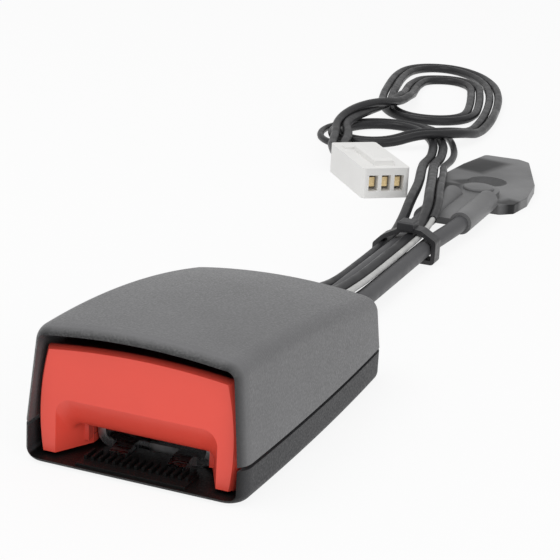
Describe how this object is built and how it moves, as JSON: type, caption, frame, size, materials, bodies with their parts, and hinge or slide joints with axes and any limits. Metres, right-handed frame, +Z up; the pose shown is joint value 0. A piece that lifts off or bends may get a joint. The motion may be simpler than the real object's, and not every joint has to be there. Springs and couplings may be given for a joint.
{
  "type": "seat belt buckle",
  "caption": "Push-button seat belt buckle head on a twin wire-rope stalk with a bolt-on anchor plate and switch leads ending in a plug.",
  "frame": {"origin": "centre of the head's flat underside, on the mirror plane of the head and level with the floor", "axes": "+X to the right seen from the mouth, +Y from the mouth along the stalk to the anchor plate, +Z up through the head"},
  "size_m": [0.1086, 0.4441, 0.0294],
  "materials": {
    "housing_top": "charcoal grey, fine grain",
    "housing_base": "near-black, fine grain",
    "guide": "black",
    "button": "satin signal red",
    "spring": "drawn spring wire",
    "steel": "bright zinc plate",
    "latch": "hardened, dark zinc plate",
    "pin": "ground steel",
    "nylon": "natural nylon",
    "acetal": "black acetal",
    "brass": "tinned brass",
    "rope": "black plastic coating over wire rope",
    "plate": "satin grey-black coating",
    "fitting": "satin black coating",
    "lead": "soft vinyl sleeve",
    "wire": "light grey vinyl",
    "tie": "black nylon",
    "grommet": "black rubber"
  },
  "bodies": {
    "head": {"upper_cover": "housing_top", "lower_cover": "housing_base", "tongue_guide": "guide", "frame": "steel", "latch_pin": "pin", "spring_bridge": "acetal", "switch_housing": "acetal", "switch_cover": "acetal", "switch_contacts": "brass", "inner_leads": "lead", "frame_rivet": "steel", "rope_fitting": "fitting", "rope_left": "rope", "rope_right": "rope", "plate_clamp": "plate", "plate_rivet": "plate", "anchor_plate": "plate", "cable_tie": "tie", "rear_grommet": "grommet", "lead_a": "lead", "lead_b": "lead", "signal_wire": "wire", "lead_hank": "lead", "lead_a_tail": "lead", "lead_b_tail": "lead", "signal_wire_tail": "wire", "connector_housing": "nylon", "connector_lock": "nylon", "connector_terminals": "brass"},
    "button": {"press_button": "button", "button_springs": "spring"},
    "latch": {"latch_plate": "latch", "latch_spring": "spring"},
    "ejector": {"ejector": "nylon", "ejector_spring": "spring"},
    "plunger": {"switch_plunger": "nylon", "contact_bridge": "brass", "plunger_spring": "spring"}
  },
  "joints": [
    {"name": "button_press", "type": "slide", "parent": "head", "child": "button", "axis": [0, 1, 0], "range_m": [0, 0.0055], "stiffness_N_per_m": 1600, "springref_m": -0.003, "deforming": ["button_springs"]},
    {"name": "latch_lift", "type": "hinge", "parent": "head", "child": "latch", "pos_m": [0, 0.0105, 0.0104], "axis": [-1, 0, 0], "range_deg": [0, 12], "deforming": ["latch_spring"]},
    {"name": "ejector_slide", "type": "slide", "parent": "head", "child": "ejector", "axis": [0, 1, 0], "range_m": [0, 0.008], "stiffness_N_per_m": 700, "springref_m": -0.004, "deforming": ["ejector_spring"]},
    {"name": "switch_travel", "type": "slide", "parent": "head", "child": "plunger", "axis": [0, 0, 1], "range_m": [0, 0.0016], "deforming": ["plunger_spring"]}
  ],
  "couplings": [
    {"joint": "latch_lift", "follows": "button_press", "rad_per_m": 38},
    {"joint": "switch_travel", "follows": "ejector_slide", "ratio": 0.2}
  ]
}
